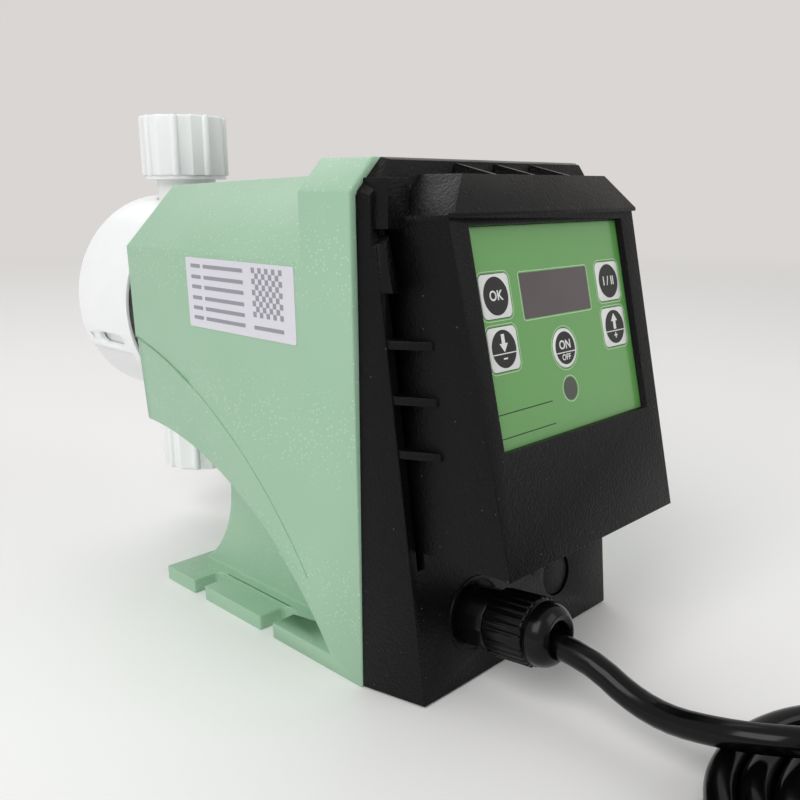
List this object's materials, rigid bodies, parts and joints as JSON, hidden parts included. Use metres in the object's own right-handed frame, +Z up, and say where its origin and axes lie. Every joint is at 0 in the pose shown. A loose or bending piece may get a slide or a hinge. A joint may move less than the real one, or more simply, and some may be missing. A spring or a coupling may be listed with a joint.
{
  "type": "diaphragm metering pump",
  "caption": "Solenoid diaphragm metering pump with a slotted foot, a slanted keypad hood, a round liquid end with union nuts and a mains lead.",
  "frame": {"origin": "centre of the four foot slots, on the underside of the foot", "axes": "+Z up, -Y the side with the control panel, +Y the side with the pump head, +X right when facing the panel"},
  "size_m": [0.15, 0.3982, 0.181],
  "materials": {
    "housing_green": "fine moulded texture with a faint sparkle",
    "cover_black": "textured ABS, satin",
    "panel_green": "printed membrane, glossy",
    "display_dark": "dark translucent window",
    "indicator_dark": "dark lens",
    "key_white": "white with a black printed disc",
    "rubber_black": "moulded seal",
    "board_green": "circuit board",
    "component_black": "moulded components",
    "steel": "zinc plated",
    "iron": "machined soft iron",
    "copper": "enamelled copper wire",
    "head_white": "moulded polypropylene",
    "valve_white": "machined polypropylene",
    "spacer_black": "moulded polypropylene",
    "ptfe": "PTFE face",
    "ceramic": "ground ceramic",
    "bearing": "dry bearing polymer",
    "cord_black": "smooth PVC",
    "nylon_black": "moulded nylon",
    "label_pale": "printed film",
    "pin_plated": "nickel plated"
  },
  "bodies": {
    "pump": {"housing": "housing_green", "control_cover": "cover_black", "cover_gasket": "rubber_black", "cover_screws": "steel", "keypad_overlay": "panel_green", "display_window": "display_dark", "indicator_lens": "indicator_dark", "control_board": "board_green", "board_screws": "steel", "key_switches": "component_black", "display_module": "component_black", "power_board": "board_green", "power_components": "component_black", "power_screws": "steel", "blanking_disc": "cover_black", "gland_body": "nylon_black", "gland_locknut": "nylon_black", "gland_seal": "rubber_black", "gland_nut": "nylon_black", "solenoid_plate": "iron", "solenoid_yoke": "iron", "solenoid_screws": "steel", "coil_bobbin": "component_black", "coil_winding": "copper", "pole_piece": "iron", "guide_bush": "bearing", "stop_buffer": "rubber_black", "return_spring": "steel", "head_spacer": "spacer_black", "diaphragm": "ptfe", "liquid_end": "valve_white", "head_bolts": "steel", "head_cover": "head_white", "rating_label": "label_pale", "power_cord": "cord_black", "cord_coil": "cord_black", "cord_tail": "cord_black", "plug_body": "cord_black", "plug_pins": "pin_plated", "discharge_seat": "valve_white", "discharge_o_ring": "rubber_black", "discharge_nozzle": "valve_white", "suction_seat": "valve_white", "suction_o_ring": "rubber_black", "suction_nozzle": "valve_white"},
    "key_set_body": {"key_set": "key_white"},
    "key_mode_body": {"key_mode": "key_white"},
    "key_down_body": {"key_down": "key_white"},
    "key_up_body": {"key_up": "key_white"},
    "key_start_stop_body": {"key_start_stop": "key_white"},
    "plunger": {"armature": "iron", "push_rod": "steel", "diaphragm_core": "steel"},
    "discharge_ball_body": {"discharge_ball": "ceramic"},
    "discharge_clamp": {"discharge_clamp_ring": "valve_white"},
    "discharge_union_nut": {"discharge_nut": "head_white"},
    "suction_ball_body": {"suction_ball": "ceramic"},
    "suction_clamp": {"suction_clamp_ring": "valve_white"},
    "suction_union_nut": {"suction_nut": "head_white"}
  },
  "joints": [
    {"name": "key_set_press", "type": "slide", "parent": "pump", "child": "key_set_body", "axis": [0, 0.9711, -0.2385], "range_m": [0, 0.0005], "stiffness_N_per_m": 1500, "springref_m": -0.0003},
    {"name": "key_mode_press", "type": "slide", "parent": "pump", "child": "key_mode_body", "axis": [0, 0.9711, -0.2385], "range_m": [0, 0.0005], "stiffness_N_per_m": 1500, "springref_m": -0.0003},
    {"name": "key_down_press", "type": "slide", "parent": "pump", "child": "key_down_body", "axis": [0, 0.9711, -0.2385], "range_m": [0, 0.0005], "stiffness_N_per_m": 1500, "springref_m": -0.0003},
    {"name": "key_up_press", "type": "slide", "parent": "pump", "child": "key_up_body", "axis": [0, 0.9711, -0.2385], "range_m": [0, 0.0005], "stiffness_N_per_m": 1500, "springref_m": -0.0003},
    {"name": "key_start_stop_press", "type": "slide", "parent": "pump", "child": "key_start_stop_body", "axis": [0, 0.9711, -0.2385], "range_m": [0, 0.0005], "stiffness_N_per_m": 1500, "springref_m": -0.0003},
    {"name": "plunger_stroke", "type": "slide", "parent": "pump", "child": "plunger", "axis": [0, 1, 0], "range_m": [0, 0.00125], "stiffness_N_per_m": 6000, "springref_m": -0.001, "deforming": ["return_spring", "diaphragm"]},
    {"name": "discharge_ball_lift", "type": "slide", "parent": "pump", "child": "discharge_ball_body", "axis": [0, 0, 1], "range_m": [0, 0.0015]},
    {"name": "discharge_clamp_travel", "type": "slide", "parent": "pump", "child": "discharge_clamp", "axis": [0, 0, 1], "range_m": [0, 0.01]},
    {"name": "discharge_nut_turn", "type": "hinge", "parent": "discharge_clamp", "child": "discharge_union_nut", "pos_m": [0, 0.0995, 0.168], "axis": [0, 0, 1], "range_deg": [0, 1800]},
    {"name": "suction_ball_lift", "type": "slide", "parent": "pump", "child": "suction_ball_body", "axis": [0, 0, 1], "range_m": [0, 0.0015]},
    {"name": "suction_clamp_travel", "type": "slide", "parent": "pump", "child": "suction_clamp", "axis": [0, 0, -1], "range_m": [0, 0.01]},
    {"name": "suction_nut_turn", "type": "hinge", "parent": "suction_clamp", "child": "suction_union_nut", "pos_m": [0, 0.0995, 0.039], "axis": [0, 0, -1], "range_deg": [0, 1800]}
  ],
  "couplings": [
    {"joint": "discharge_nut_turn", "follows": "discharge_clamp_travel", "rad_per_m": 3141.5},
    {"joint": "suction_nut_turn", "follows": "suction_clamp_travel", "rad_per_m": 3141.5}
  ]
}
